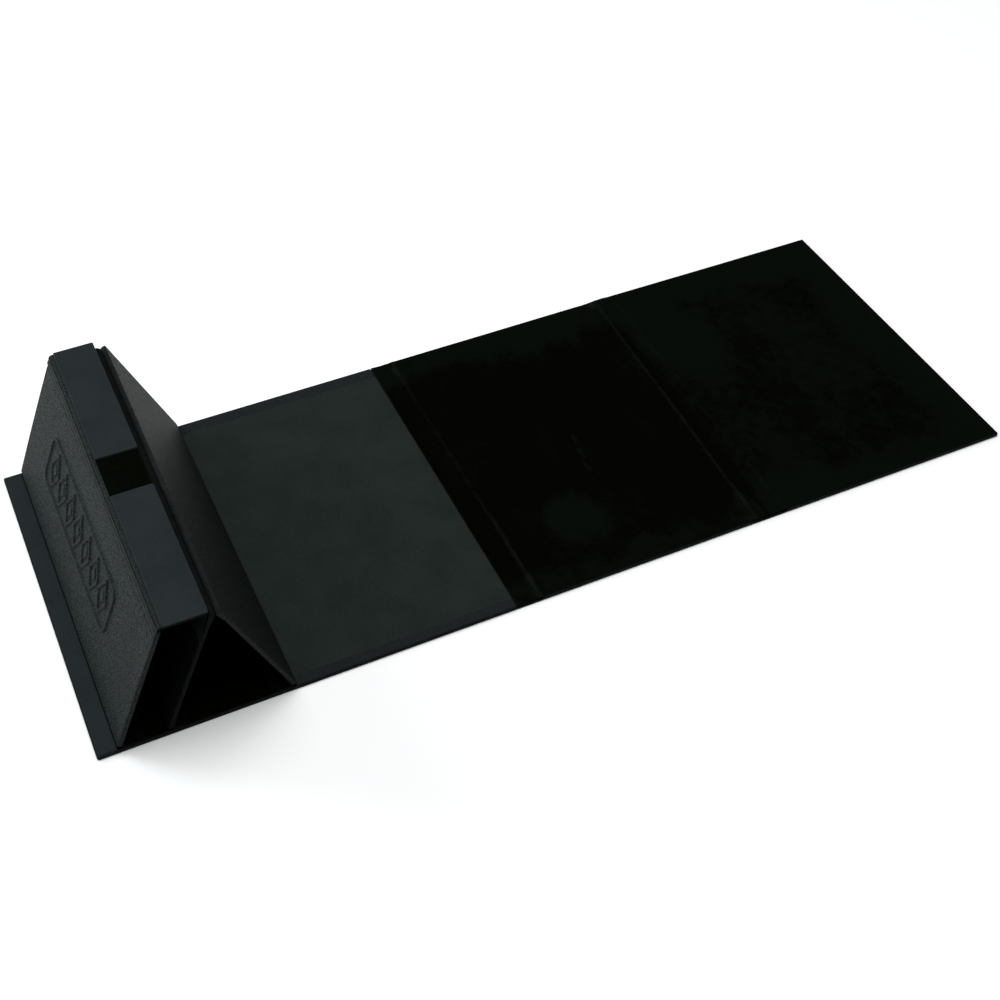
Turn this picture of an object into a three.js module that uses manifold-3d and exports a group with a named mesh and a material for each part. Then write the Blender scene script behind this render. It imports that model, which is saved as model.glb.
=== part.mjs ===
// A folding rest with a fold-out mat, bound like a book from covered greyboards.
// A long base board carries a trapezium rest: a slanted left panel, a flat top, an inner
// partition parallel to the left panel, and a prop that leans back against the partition.
// Two soft-jointed mat panels unfold from the base board's other end.
// Units are millimetres. +X runs along the mat, +Y is the depth and +Z is up. The origin is
// on the floor, in the middle of the unfolded length and of the depth.

import * as THREE from 'three';
import { mergeVertices } from 'three/addons/utils/BufferGeometryUtils.js';
import Module from 'manifold-3d';

const wasm = await Module();
wasm.setup();

// Driving dimensions.
const DEPTH = 300;
const REST_DEPTH = 299;
const MAT_THICKNESS = 3.6;
const PANEL_THICKNESS = 3.4;
const COVER = 0.5;
const LINING = 0.4;
const GAP = 0.25;

// Stations along X, counted from the outer edge of the flange.
const FLANGE_END = 14.4;
const LEFT_FOOT = 18;
const PARTITION_FOOT = 54.2;
const PROP_FOOT = 146.6;
const BASE_END = 321.5;
const INNER_HINGE_START = 322.2;
const INNER_HINGE_END = 342.3;
const INNER_MAT_START = 343;
const INNER_MAT_END = 529.5;
const OUTER_HINGE_LINE = 546;
const OUTER_MAT_START = 560.5;
const OUTER_MAT_END = 769.5;

// The rest.
const PANEL_LEAN = 66.4;
const PROP_LEAN = 112.5;
const PANEL_LENGTH = 112.5;
const PROP_LENGTH = 111.6;
const FOOT_LIFT = 0.7;
const PROP_FOOT_LIFT = 2.1;
const TOP_LIFT = 0.5;
const TOP_BOARD = 1.9;
const TOP_BLOCK = 2.4;
const TOP_MARGIN = 4;
const WINDOW_LENGTH = 41;
const WRAP = 0.35;

// Foot tabs, glued to the floor of the rest.
const TAB_THICKNESS = 0.4;
const TAB_REVEAL = 0.6;
const LEFT_TAB_END = 34.5;
const PARTITION_TAB_END = 67.5;
const PROP_TAB_START = 128;
const PROP_TAB_END = 142.8;

// The hinge flap between partition and top, measured down from the partition's top edge.
const FLAP_TOP = 7;
const FLAP_END = 25;
const FLAP_THICKNESS = 0.6;

// Magnets in the prop and steel discs in the partition, in through pockets of the boards.
const DISC_RADIUS = 6;
const DISC_THICKNESS = 1.5;
const DISC_CLEARANCE = 0.3;
const DISC_INSET = 10;
const DISC_PLACES = [-110, 0, 110];

// The soft hinge strips: a suede layer over a leatherette layer.
const STRIP_BOTTOM = 0.6;
const STRIP_LAYER = 0.6;
const STRIP_CLEARANCE = 0.25;

// Finishes: colour, roughness and metalness.
const LEATHERETTE = { color: 0x2c3435, roughness: 0.62, metalness: 0 };
const GREY_PAPER = { color: 0x292e31, roughness: 0.8, metalness: 0 };
const SUEDE = { color: 0x060805, roughness: 0.95, metalness: 0 };
const GREYBOARD = { color: 0x6f6a60, roughness: 0.9, metalness: 0 };
const CLOTH = { color: 0x1c2120, roughness: 0.85, metalness: 0 };
const MAGNET = { color: 0xb4b6b8, roughness: 0.3, metalness: 1 };
const STEEL = { color: 0x8f9294, roughness: 0.4, metalness: 1 };

function toSolid(geometry) {
  const bare = geometry.clone();
  bare.deleteAttribute('normal');
  bare.deleteAttribute('uv');
  const merged = mergeVertices(bare, 1e-4);
  const vertProperties = new Float32Array(merged.attributes.position.array);
  const triVerts = new Uint32Array(merged.index.array);
  return new wasm.Manifold(new wasm.Mesh({ numProp: 3, vertProperties, triVerts }));
}

function toGeometry(solid) {
  const mesh = solid.getMesh();
  const geometry = new THREE.BufferGeometry();
  geometry.setAttribute('position', new THREE.BufferAttribute(mesh.vertProperties, 3));
  geometry.setIndex(new THREE.BufferAttribute(mesh.triVerts, 1));
  geometry.computeVertexNormals();
  return geometry;
}

function part(name, geometry, finish) {
  const mesh = new THREE.Mesh(geometry, new THREE.MeshStandardMaterial(finish));
  mesh.name = name;
  return mesh;
}

// A rectangular sheet or board from x0 to x1 and z0 to z1, centred across the depth.
function slab(x0, x1, z0, z1, depth) {
  const geometry = new THREE.BoxGeometry(x1 - x0, depth, z1 - z0);
  geometry.translate((x0 + x1) / 2, 0, (z0 + z1) / 2);
  return geometry;
}

// A cover wrapped round a board: one full face and four turned-up edges of one thickness.
function wrapTray(x0, x1, z0, z1, depth, wall, plateAtBottom) {
  const outer = toSolid(slab(x0, x1, z0, z1, depth));
  const pocketZ0 = plateAtBottom ? z0 + wall : z0 - 1;
  const pocketZ1 = plateAtBottom ? z1 + 1 : z1 - wall;
  const pocket = toSolid(slab(x0 + wall, x1 - wall, pocketZ0, pocketZ1, depth - 2 * wall));
  return toGeometry(outer.subtract(pocket));
}

// A board with round pockets right through it, in a row across the depth.
function pocketedBoard(x0, x1, z0, z1, depth, pocketX, radius) {
  const outline = new THREE.Shape();
  outline.moveTo(x0, -depth / 2);
  outline.lineTo(x1, -depth / 2);
  outline.lineTo(x1, depth / 2);
  outline.lineTo(x0, depth / 2);
  outline.closePath();
  for (const y of DISC_PLACES) {
    const hole = new THREE.Path();
    hole.absarc(pocketX, y, radius, 0, 2 * Math.PI, true);
    outline.holes.push(hole);
  }
  const geometry = new THREE.ExtrudeGeometry(outline, {
    depth: z1 - z0,
    bevelEnabled: false,
    curveSegments: 20,
  });
  geometry.translate(0, 0, z0);
  return geometry;
}

// Equal flat discs in a row across the depth, each in its own node.
function discRow(prefix, x, z0, z1, finish) {
  return DISC_PLACES.map((y, index) => {
    const disc = new THREE.CylinderGeometry(DISC_RADIUS, DISC_RADIUS, z1 - z0, 40);
    disc.rotateX(Math.PI / 2);
    disc.translate(x, y, (z0 + z1) / 2);
    return part(prefix + '_' + (index + 1), disc, finish);
  });
}

// The layers of one mat or base board between two stations, its wrap and board only.
function coveredBoard(prefix, x0, x1) {
  const inset = COVER + GAP;
  const boardTop = MAT_THICKNESS - LINING - GAP;
  const cover = wrapTray(x0, x1, 0, MAT_THICKNESS, DEPTH, COVER, true);
  const board = slab(x0 + inset, x1 - inset, inset, boardTop, DEPTH - 2 * inset);
  return [
    part(prefix + '_cover', cover, LEATHERETTE),
    part(prefix + '_board', board, GREYBOARD),
  ];
}

// A lining sheet, inside the turned-up edges of a mat or base board's cover.
function liningSheet(name, x0, x1, finish) {
  const depth = DEPTH - 2 * (COVER + GAP);
  return part(name, slab(x0, x1, MAT_THICKNESS - LINING, MAT_THICKNESS, depth), finish);
}

function footTab(name, x0, x1) {
  const z0 = MAT_THICKNESS + 0.05;
  return part(name, slab(x0, x1, z0, z0 + TAB_THICKNESS, REST_DEPTH), CLOTH);
}

function baseAssembly() {
  const group = new THREE.Group();
  const inset = COVER + GAP;
  const floorStart = FLANGE_END + GAP;
  group.add(...coveredBoard('base', 0, BASE_END));
  group.add(liningSheet('flange_liner', inset, FLANGE_END, GREY_PAPER));
  group.add(liningSheet('rest_floor_lining', floorStart, PROP_FOOT - GAP, SUEDE));
  group.add(liningSheet('grey_panel_liner', PROP_FOOT, BASE_END - inset, GREY_PAPER));
  group.add(footTab('left_foot_tab', LEFT_FOOT + TAB_REVEAL, LEFT_TAB_END));
  group.add(footTab('partition_foot_tab', PARTITION_FOOT + TAB_REVEAL, PARTITION_TAB_END));
  group.add(footTab('prop_foot_tab', PROP_TAB_START, PROP_TAB_END));
  return group;
}

// A slanted panel in its own frame: x runs up the slope from the hinge, z is its thickness.
// The wrap's full face is at the high z side, and the lining is at z = 0.
function slantedPanel(prefix, length, board) {
  const group = new THREE.Group();
  const inset = COVER + GAP;
  const depth = REST_DEPTH - 2 * inset;
  const cover = wrapTray(0, length, 0, PANEL_THICKNESS, REST_DEPTH, COVER, false);
  const lining = slab(inset, length - inset, 0, LINING, depth);
  group.add(part(prefix + '_cover', cover, LEATHERETTE));
  group.add(part(prefix + '_board', board, GREYBOARD));
  group.add(part(prefix + '_lining', lining, SUEDE));
  return group;
}

// Where a slanted panel's board lies through the panel's thickness.
const BOARD_Z0 = LINING + GAP;
const BOARD_Z1 = PANEL_THICKNESS - COVER - GAP;
const BOARD_INSET = COVER + GAP;

function leftPanel() {
  const depth = REST_DEPTH - 2 * BOARD_INSET;
  const end = PANEL_LENGTH - BOARD_INSET;
  return slantedPanel('left_panel', PANEL_LENGTH, slab(BOARD_INSET, end, BOARD_Z0, BOARD_Z1, depth));
}

function partitionPanel() {
  const depth = REST_DEPTH - 2 * BOARD_INSET;
  const end = PANEL_LENGTH - BOARD_INSET;
  const discX = PANEL_LENGTH - DISC_INSET;
  const pocket = DISC_RADIUS + DISC_CLEARANCE;
  const board = pocketedBoard(BOARD_INSET, end, BOARD_Z0, BOARD_Z1, depth, discX, pocket);
  const group = slantedPanel('partition', PANEL_LENGTH, board);
  const flapX0 = PANEL_LENGTH - FLAP_END;
  const flapX1 = PANEL_LENGTH - FLAP_TOP;
  const flapZ0 = PANEL_THICKNESS + GAP;
  const flap = slab(flapX0, flapX1, flapZ0, flapZ0 + FLAP_THICKNESS, REST_DEPTH);
  group.add(part('partition_top_flap', flap, CLOTH));
  group.add(...discRow('partition_steel_disc', discX, BOARD_Z0, BOARD_Z0 + DISC_THICKNESS, STEEL));
  return group;
}

// The prop's wrap faces the mat, so its frame has the wrap at z = 0 and the lining on top.
function propPanel() {
  const group = new THREE.Group();
  const depth = REST_DEPTH - 2 * BOARD_INSET;
  const end = PROP_LENGTH - BOARD_INSET;
  const boardZ0 = COVER + GAP;
  const boardZ1 = PANEL_THICKNESS - LINING - GAP;
  const discX = PROP_LENGTH - DISC_INSET;
  const pocket = DISC_RADIUS + DISC_CLEARANCE;
  const cover = wrapTray(0, PROP_LENGTH, 0, PANEL_THICKNESS, REST_DEPTH, COVER, true);
  const board = pocketedBoard(BOARD_INSET, end, boardZ0, boardZ1, depth, discX, pocket);
  const lining = slab(BOARD_INSET, end, PANEL_THICKNESS - LINING, PANEL_THICKNESS, depth);
  group.add(part('prop_cover', cover, LEATHERETTE));
  group.add(part('prop_board', board, GREYBOARD));
  group.add(part('prop_lining', lining, SUEDE));
  group.add(...discRow('prop_magnet', discX, boardZ1 - DISC_THICKNESS, boardZ1, MAGNET));
  return group;
}

// The band of the top's hinge: over the margin of the top board and down its left edge.
function hingeBand(width, boardZ0, boardZ1) {
  const outline = new THREE.Shape();
  outline.moveTo(0, boardZ0);
  outline.lineTo(COVER, boardZ0);
  outline.lineTo(COVER, boardZ1 + GAP);
  outline.lineTo(width, boardZ1 + GAP);
  outline.lineTo(width, boardZ1 + GAP + COVER);
  outline.lineTo(0, boardZ1 + GAP + COVER);
  outline.closePath();
  const geometry = new THREE.ExtrudeGeometry(outline, { depth: REST_DEPTH, bevelEnabled: false });
  geometry.rotateX(Math.PI / 2);
  geometry.translate(0, REST_DEPTH / 2, 0);
  return geometry;
}

// One covered block of the top: a board and the paper wrapped over it and down its sides.
function topBlock(suffix, x0, x1, z0, y) {
  const length = (REST_DEPTH - WINDOW_LENGTH) / 2;
  const z1 = z0 + TOP_BLOCK;
  const inset = WRAP + GAP;
  const wrap = wrapTray(x0, x1, z0, z1, length, WRAP, false);
  const board = slab(x0 + inset, x1 - inset, z0, z1 - inset, length - 2 * inset);
  wrap.translate(0, y, 0);
  board.translate(0, y, 0);
  return [
    part('top_block_wrap_' + suffix, wrap, GREY_PAPER),
    part('top_block_board_' + suffix, board, GREYBOARD),
  ];
}

// The top in its own frame: x = 0 at its left edge and z = 0 at its underside.
function topPanel(width) {
  const group = new THREE.Group();
  const boardX0 = COVER + GAP;
  const boardZ0 = LINING + 0.05;
  const boardZ1 = boardZ0 + TOP_BOARD;
  const blockZ0 = boardZ1 + 0.05;
  const blockX0 = TOP_MARGIN + 0.3;
  const blockY = (REST_DEPTH + WINDOW_LENGTH) / 4;
  const boardDepth = REST_DEPTH - 2 * GAP;
  const lining = slab(boardX0, width - GAP, 0, LINING, boardDepth);
  const board = slab(boardX0, width, boardZ0, boardZ1, boardDepth);
  const pad = slab(blockX0, width - GAP, blockZ0, blockZ0 + COVER, WINDOW_LENGTH - 2 * GAP);
  group.add(part('top_lining', lining, SUEDE));
  group.add(part('top_board', board, GREYBOARD));
  group.add(part('top_hinge_band', hingeBand(TOP_MARGIN, boardZ0, boardZ1), LEATHERETTE));
  group.add(part('window_pad', pad, SUEDE));
  group.add(...topBlock('front', blockX0, width, blockZ0, -blockY));
  group.add(...topBlock('back', blockX0, width, blockZ0, blockY));
  return group;
}

// One stretch of a soft hinge strip, with no board in it: leatherette under suede.
function softStrip(coverName, liningName, x0, x1) {
  const middle = STRIP_BOTTOM + STRIP_LAYER;
  return [
    part(coverName, slab(x0, x1, STRIP_BOTTOM, middle, DEPTH), LEATHERETTE),
    part(liningName, slab(x0, x1, middle, middle + STRIP_LAYER, DEPTH), SUEDE),
  ];
}

function matPanel(prefix, x0, x1) {
  const inset = COVER + GAP;
  const lining = liningSheet(prefix + '_lining', x0 + inset, x1 - inset, SUEDE);
  return [...coveredBoard(prefix, x0, x1), lining];
}

function matAssembly() {
  const group = new THREE.Group();
  const innerX0 = INNER_HINGE_START + STRIP_CLEARANCE;
  const innerX1 = INNER_HINGE_END - STRIP_CLEARANCE;
  const nearX0 = INNER_MAT_END + STRIP_CLEARANCE;
  const nearX1 = OUTER_HINGE_LINE - STRIP_CLEARANCE;
  const farX0 = OUTER_HINGE_LINE + STRIP_CLEARANCE;
  const farX1 = OUTER_MAT_START - STRIP_CLEARANCE;
  group.add(...softStrip('inner_hinge_cover', 'inner_hinge_lining', innerX0, innerX1));
  group.add(...matPanel('inner_mat', INNER_MAT_START, INNER_MAT_END));
  group.add(...softStrip('outer_hinge_cover_near', 'outer_hinge_lining_near', nearX0, nearX1));
  group.add(...softStrip('outer_hinge_cover_far', 'outer_hinge_lining_far', farX0, farX1));
  group.add(...matPanel('outer_mat', OUTER_MAT_START, OUTER_MAT_END));
  return group;
}

// A point on a slanted panel, from its hinge line, up its slope and out along its normal.
function onSlope(footX, footZ, along, out) {
  const lean = THREE.MathUtils.degToRad(PANEL_LEAN);
  const x = footX + along * Math.cos(lean) - out * Math.sin(lean);
  const z = footZ + along * Math.sin(lean) + out * Math.cos(lean);
  return { x, z };
}

function restAssembly() {
  const group = new THREE.Group();
  const footZ = MAT_THICKNESS + FOOT_LIFT;
  const left = leftPanel();
  left.position.set(LEFT_FOOT, 0, footZ);
  left.rotation.y = -THREE.MathUtils.degToRad(PANEL_LEAN);
  const partition = partitionPanel();
  partition.position.set(PARTITION_FOOT, 0, footZ);
  partition.rotation.y = -THREE.MathUtils.degToRad(PANEL_LEAN);
  const prop = propPanel();
  prop.position.set(PROP_FOOT, 0, MAT_THICKNESS + PROP_FOOT_LIFT);
  prop.rotation.y = -THREE.MathUtils.degToRad(PROP_LEAN);
  const leftTop = onSlope(LEFT_FOOT, footZ, PANEL_LENGTH, PANEL_THICKNESS);
  const top = topPanel(PARTITION_FOOT - LEFT_FOOT - TOP_LIFT);
  top.position.set(leftTop.x, 0, leftTop.z + TOP_LIFT);
  group.add(left, partition, prop, top);
  return group;
}

const rest = new THREE.Group();
rest.add(baseAssembly(), restAssembly(), matAssembly());
rest.position.x = -OUTER_MAT_END / 2;

export default rest;
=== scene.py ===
import math

import bmesh
import bpy
import numpy as np
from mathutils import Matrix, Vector


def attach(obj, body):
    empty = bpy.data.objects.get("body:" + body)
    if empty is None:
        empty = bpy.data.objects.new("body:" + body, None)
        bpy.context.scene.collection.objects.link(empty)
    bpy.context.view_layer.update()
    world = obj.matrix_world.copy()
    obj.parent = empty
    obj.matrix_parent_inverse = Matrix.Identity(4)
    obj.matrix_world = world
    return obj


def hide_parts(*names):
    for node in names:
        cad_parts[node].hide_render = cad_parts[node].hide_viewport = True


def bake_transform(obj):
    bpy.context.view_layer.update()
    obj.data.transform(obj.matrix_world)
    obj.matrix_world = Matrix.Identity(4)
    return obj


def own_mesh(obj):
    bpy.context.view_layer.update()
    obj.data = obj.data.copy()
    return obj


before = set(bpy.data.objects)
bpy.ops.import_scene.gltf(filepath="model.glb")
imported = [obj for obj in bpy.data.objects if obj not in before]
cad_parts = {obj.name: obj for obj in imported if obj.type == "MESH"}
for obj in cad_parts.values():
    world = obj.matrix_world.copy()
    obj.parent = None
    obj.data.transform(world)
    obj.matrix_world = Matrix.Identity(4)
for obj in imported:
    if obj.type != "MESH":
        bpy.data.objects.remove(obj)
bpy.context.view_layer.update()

# Work table, light and camera.
# The folded-out rest stands on a plain pale table, under a wide soft lamp overhead
# and a small low one beyond the back end of the slanted panel.
scene = bpy.context.scene
scene.view_settings.view_transform = "Standard"


def new_material(name, base_color, roughness, specular):
    """A material with one Principled shader, its constants set on the shader's own sockets."""
    material = bpy.data.materials.new(name)
    material.use_nodes = True
    shader = material.node_tree.nodes["Principled BSDF"]
    shader.inputs["Base Color"].default_value = (*base_color, 1.0)
    shader.inputs["Roughness"].default_value = roughness
    shader.inputs["Specular IOR Level"].default_value = specular
    return material, material.node_tree, shader


def add_noise(tree, vector, scale, detail, roughness=0.5):
    """A noise texture read at the given coordinates, scale in features per metre."""
    noise = tree.nodes.new("ShaderNodeTexNoise")
    noise.inputs["Scale"].default_value = scale
    noise.inputs["Detail"].default_value = detail
    noise.inputs["Roughness"].default_value = roughness
    tree.links.new(vector, noise.inputs["Vector"])
    return noise


def add_ramp(tree, value, low, high, out_low, out_high):
    """Remaps low..high of a value to out_low..out_high, smooth and clamped."""
    ramp = tree.nodes.new("ShaderNodeMapRange")
    ramp.interpolation_type = "SMOOTHSTEP"
    ramp.inputs["From Min"].default_value = low
    ramp.inputs["From Max"].default_value = high
    ramp.inputs["To Min"].default_value = out_low
    ramp.inputs["To Max"].default_value = out_high
    tree.links.new(value, ramp.inputs["Value"])
    return ramp.outputs["Result"]


def add_mix(tree, factor, first, second):
    """Mixes two colours by a factor; a colour may be a socket or three numbers."""
    mix = tree.nodes.new("ShaderNodeMix")
    mix.data_type = "RGBA"
    tree.links.new(factor, mix.inputs["Factor"])
    for socket, value in ((mix.inputs[6], first), (mix.inputs[7], second)):
        if isinstance(value, tuple):
            socket.default_value = (*value, 1.0)
        else:
            tree.links.new(value, socket)
    return mix.outputs[2]


def add_math(tree, kind, first, second):
    """One arithmetic node on two values, each a socket or a number."""
    node = tree.nodes.new("ShaderNodeMath")
    node.operation = kind
    for socket, value in zip(node.inputs, (first, second)):
        if isinstance(value, (int, float)):
            socket.default_value = value
        else:
            tree.links.new(value, socket)
    return node.outputs[0]


TABLE_HALF = 6.0
table_mesh = bpy.data.meshes.new("pale_table")
table_mesh.from_pydata(
    [
        (-TABLE_HALF, -TABLE_HALF, 0),
        (TABLE_HALF, -TABLE_HALF, 0),
        (TABLE_HALF, TABLE_HALF, 0),
        (-TABLE_HALF, TABLE_HALF, 0),
    ],
    [],
    [(0, 1, 2, 3)],
)
table = bpy.data.objects.new("pale_table", table_mesh)
scene.collection.objects.link(table)
table_material, table_tree, table_shader = new_material("pale_table_top", (0.9, 0.9, 0.9), 0.7, 0.2)
table_place = table_tree.nodes.new("ShaderNodeTexCoord").outputs["Object"]
table_cloud = add_noise(table_tree, table_place, 2.0, 2.0)
table_tree.links.new(
    add_mix(table_tree, table_cloud.outputs["Fac"], (0.9, 0.9, 0.9), (0.93, 0.93, 0.93)),
    table_shader.inputs["Base Color"],
)
table_mesh.materials.append(table_material)

world = bpy.data.worlds.new("soft_room")
world.use_nodes = True
world.node_tree.nodes["Background"].inputs["Color"].default_value = (0.95, 0.98, 1.0, 1.0)
world.node_tree.nodes["Background"].inputs["Strength"].default_value = 0.28
scene.world = world


def add_lamp(name, place, aim, size, power, colour=(1.0, 1.0, 1.0)):
    """A square soft lamp at a place, turned to face another."""
    data = bpy.data.lights.new(name, "AREA")
    data.size = size
    data.energy = power
    data.color = colour
    lamp = bpy.data.objects.new(name, data)
    lamp.location = place
    lamp.rotation_euler = (Vector(aim) - Vector(place)).to_track_quat("-Z", "Y").to_euler()
    scene.collection.objects.link(lamp)


add_lamp("overhead_lamp", (0.0, 0.2, 4.0), (0.0, 0.2, 0.0), 4.0, 170.0)
add_lamp("side_lamp", (-1.3, 1.1, 0.75), (-0.35, 0.05, 0.06), 0.7, 13.5, (0.86, 1.0, 0.98))

camera_data = bpy.data.cameras.new("studio_camera")
camera_data.lens = 53.93
camera_data.sensor_width = 36.0
camera = bpy.data.objects.new("studio_camera", camera_data)
CAMERA_TILT = 43.854982
CAMERA_ROLL = -0.092246
CAMERA_HEADING = -25.064626
camera.location = (-0.38293, -0.79858, 0.87168)
camera.rotation_euler = [math.radians(angle) for angle in (CAMERA_TILT, CAMERA_ROLL, CAMERA_HEADING)]
scene.collection.objects.link(camera)
scene.camera = camera

# Base board: one stiff greyboard from the flange to the end of the grey panel.
# It is wrapped in black leatherette, whose edges are turned in round the board
# and stay in sight as a narrow margin round the glued-in liners.
MM = 0.001
ROW_ORIGIN = 384.75
HALF_DEPTH = 150.0


def board_loop(start, end, low, high, round_low, round_high, top_places=None):
    """Closed outline of a board, counter-clockwise: two flat faces joined by rounded edges.
    Points are straight runs and quarter circles; each keeps the unit normal it has there."""
    arc = np.linspace(0.0, math.pi / 2, 5)
    if top_places is None:
        top_places = np.linspace(start + round_high, end - round_high, 24)
    points, normals = [], []

    def add_arc(x, z, radius, first):
        """Adds a quarter circle that starts at an angle."""
        angles = first + arc
        out = np.stack([np.cos(angles), np.sin(angles)], axis=1)
        points.append(np.array([x, z]) + radius * out)
        normals.append(out)

    add_arc(start + round_low, low + round_low, round_low, math.pi)
    lower = np.linspace(start + round_low, end - round_low, 24)[1:-1]
    points.append(np.stack([lower, np.full_like(lower, low)], axis=1))
    normals.append(np.tile([0.0, -1.0], (len(lower), 1)))
    add_arc(end - round_low, low + round_low, round_low, -math.pi / 2)
    add_arc(end - round_high, high - round_high, round_high, 0.0)
    inside = (top_places > start + round_high + 0.01) & (top_places < end - round_high - 0.01)
    inner = top_places[inside][::-1]
    points.append(np.stack([inner, np.full_like(inner, high)], axis=1))
    normals.append(np.tile([0.0, 1.0], (len(inner), 1)))
    add_arc(start + round_high, high - round_high, round_high, math.pi / 2)
    return np.concatenate(points), np.concatenate(normals)


def ribbon_loop(path, thickness):
    """Closed outline of a strip that follows a path: the path smoothed by a spline through its
    points, then offset half the thickness to either side, with round ends."""
    path = np.asarray(path, float)
    steps = np.r_[0.0, np.cumsum(np.hypot(*np.diff(path, axis=0).T))]
    fine = np.linspace(0.0, steps[-1], 6 * len(path))
    smooth = np.stack([np.interp(fine, steps, path[:, 0]), np.interp(fine, steps, path[:, 1])], axis=1)
    for _ in range(4):
        smooth[1:-1] = (smooth[:-2] + 2.0 * smooth[1:-1] + smooth[2:]) / 4.0
    along = np.gradient(smooth, axis=0)
    along /= np.linalg.norm(along, axis=1)[:, None]
    side = np.stack([-along[:, 1], along[:, 0]], axis=1)
    half = thickness / 2.0
    cap = np.linspace(0.0, math.pi, 5)[1:-1, None]
    end_out = along[-1] * np.sin(cap) - side[-1] * np.cos(cap)
    start_out = -along[0] * np.sin(cap) + side[0] * np.cos(cap)
    normals = np.concatenate([-side, end_out, side[::-1], start_out])
    centres = np.concatenate([smooth, np.tile(smooth[-1], (3, 1)), smooth[::-1], np.tile(smooth[0], (3, 1))])
    return centres + half * normals, normals


def depth_places(low, high, radius, step=8.0, extra=(), corner=0.0):
    """Places along the depth with the outline's draw-in at each: a quarter circle of the edge
    radius at both ends, and how far the plan's corner arc narrows the piece there."""
    arc = np.linspace(0.0, math.pi / 2, 6)
    near = np.unique(np.round(np.r_[radius * (1 - np.cos(arc)), corner * (1 - np.cos(arc))], 5))
    reach = near[-1]
    middle = np.linspace(low + reach, high - reach, max(3, int((high - low) / step)))[1:-1]
    middle = np.unique(np.r_[middle, [e for e in extra if low + reach < e < high - reach]])
    places = np.r_[low + near, middle, high - near[::-1]]
    gap = np.minimum(places - low, high - places)

    def arc_depth(size):
        """How far a quarter circle of this radius stands in from its tangent at each place."""
        if size == 0.0:
            return np.zeros_like(gap)
        return size - np.sqrt(np.maximum(size**2 - np.maximum(size - gap, 0.0) ** 2, 0.0))

    return places, arc_depth(radius), arc_depth(corner)


def flat_place(along, out):
    """Station and height of a point on the table: they are what they say."""
    return along, out


def slope_place(foot_x, foot_z, lean):
    """Returns the function that turns (up the slope, out of the face) into (station, height)."""
    c, s = math.cos(math.radians(lean)), math.sin(math.radians(lean))

    def place(along, out):
        """Turns by the lean, then moves to the foot."""
        return foot_x + along * c - out * s, foot_z + along * s + out * c

    return place

SAME_POINT = 1e-6


def carry(name, loop, depth, place=flat_place, shape=None, rub_and_highlight=None):
    """Carries an outline along the depth and closes both ends.
    The outline is drawn in at the ends so that they are rounded; shape may move points out of
    the face; the surface keeps its own lay (along, depth, out) and an edge mask, for worn edges, painted edge
    sheen and painted highlights.
    Points that coincide where the ends close are joined, and all faces are turned outward."""
    points, normals = loop
    places, inset, corner = depth
    drawn = points[None] - inset[:, None, None] * normals[None]
    centre = (points[:, 0].min() + points[:, 0].max()) / 2.0
    half_span = (points[:, 0].max() - points[:, 0].min()) / 2.0
    narrowed = np.maximum(corner - inset, 0.0)[:, None] / half_span
    along, out = centre + (drawn[..., 0] - centre) * (1.0 - narrowed), drawn[..., 1]
    y = np.repeat(places[:, None], len(points), axis=1)
    lay = np.stack([along, y, out], axis=-1)
    # Edge mask: the rounded edges, for worn edges and a painted edge sheen; the optional mask adds painted
    # highlights on ridges and embossed lines, and worn places.
    flatness = np.abs(normals[:, 1])
    rim = np.clip(1.0 - flatness**6, 0.0, 1.0)[None] * np.ones_like(y)
    rim = np.maximum(rim, (inset[:, None] > 0.0) * 1.0)
    if rub_and_highlight is not None:
        rim = np.maximum(rim, rub_and_highlight(along, y) * (normals[None, :, 1] > 0.0))
    if shape is not None:
        along, y, out = shape(along, y, out, normals[None, :, 1])
    x, z = place(along, out)
    world_points = np.stack([(x - ROW_ORIGIN) * MM, y * MM, z * MM], axis=-1).reshape(-1, 3)
    rows, count = y.shape
    index = np.arange(rows * count).reshape(rows, count)
    right = np.roll(index, -1, axis=1)
    quads = np.stack([index[:-1], index[1:], right[1:], right[:-1]], axis=-1).reshape(-1, 4)
    caps = [index[0].tolist(), index[-1][::-1].tolist()]
    mesh = bpy.data.meshes.new(name)
    mesh.from_pydata(world_points.tolist(), [], quads.tolist() + caps)
    lay_data = mesh.attributes.new("lay", "FLOAT_VECTOR", "POINT").data
    lay_data.foreach_set("vector", (lay * MM).astype(np.float32).ravel())
    rim_data = mesh.attributes.new("rim", "FLOAT", "POINT").data
    rim_data.foreach_set("value", rim.astype(np.float32).ravel())
    shell = bmesh.new()
    shell.from_mesh(mesh)
    bmesh.ops.remove_doubles(shell, verts=shell.verts, dist=SAME_POINT)
    bmesh.ops.recalc_face_normals(shell, faces=shell.faces)
    if shell.calc_volume(signed=True) < 0.0:
        bmesh.ops.reverse_faces(shell, faces=shell.faces)
    for face in shell.faces:
        face.smooth = len(face.verts) <= 4
    shell.to_mesh(mesh)
    shell.free()
    piece = bpy.data.objects.new(name, mesh)
    scene.collection.objects.link(piece)
    return piece


def finish_piece(piece, material, slot_name, body, *nodes):
    """Gives a piece its finish, the CAD nodes it stands for and its body; the record slot, slot_name, is not
    used.
    """
    piece.data.materials.append(material)
    if nodes:
        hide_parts(*nodes)
    if body:
        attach(piece, body)
    return piece


def new_group(name, sockets_in, sockets_out):
    """An empty shader node group with named inputs (name, kind, default) and outputs."""
    group = bpy.data.node_groups.new(name, "ShaderNodeTree")
    for title, kind, value in sockets_in:
        socket = group.interface.new_socket(name=title, in_out="INPUT", socket_type=kind)
        if value is not None:
            socket.default_value = value
    for title, kind in sockets_out:
        group.interface.new_socket(name=title, in_out="OUTPUT", socket_type=kind)
    return group, group.nodes.new("NodeGroupInput").outputs, group.nodes.new("NodeGroupOutput").inputs


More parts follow.
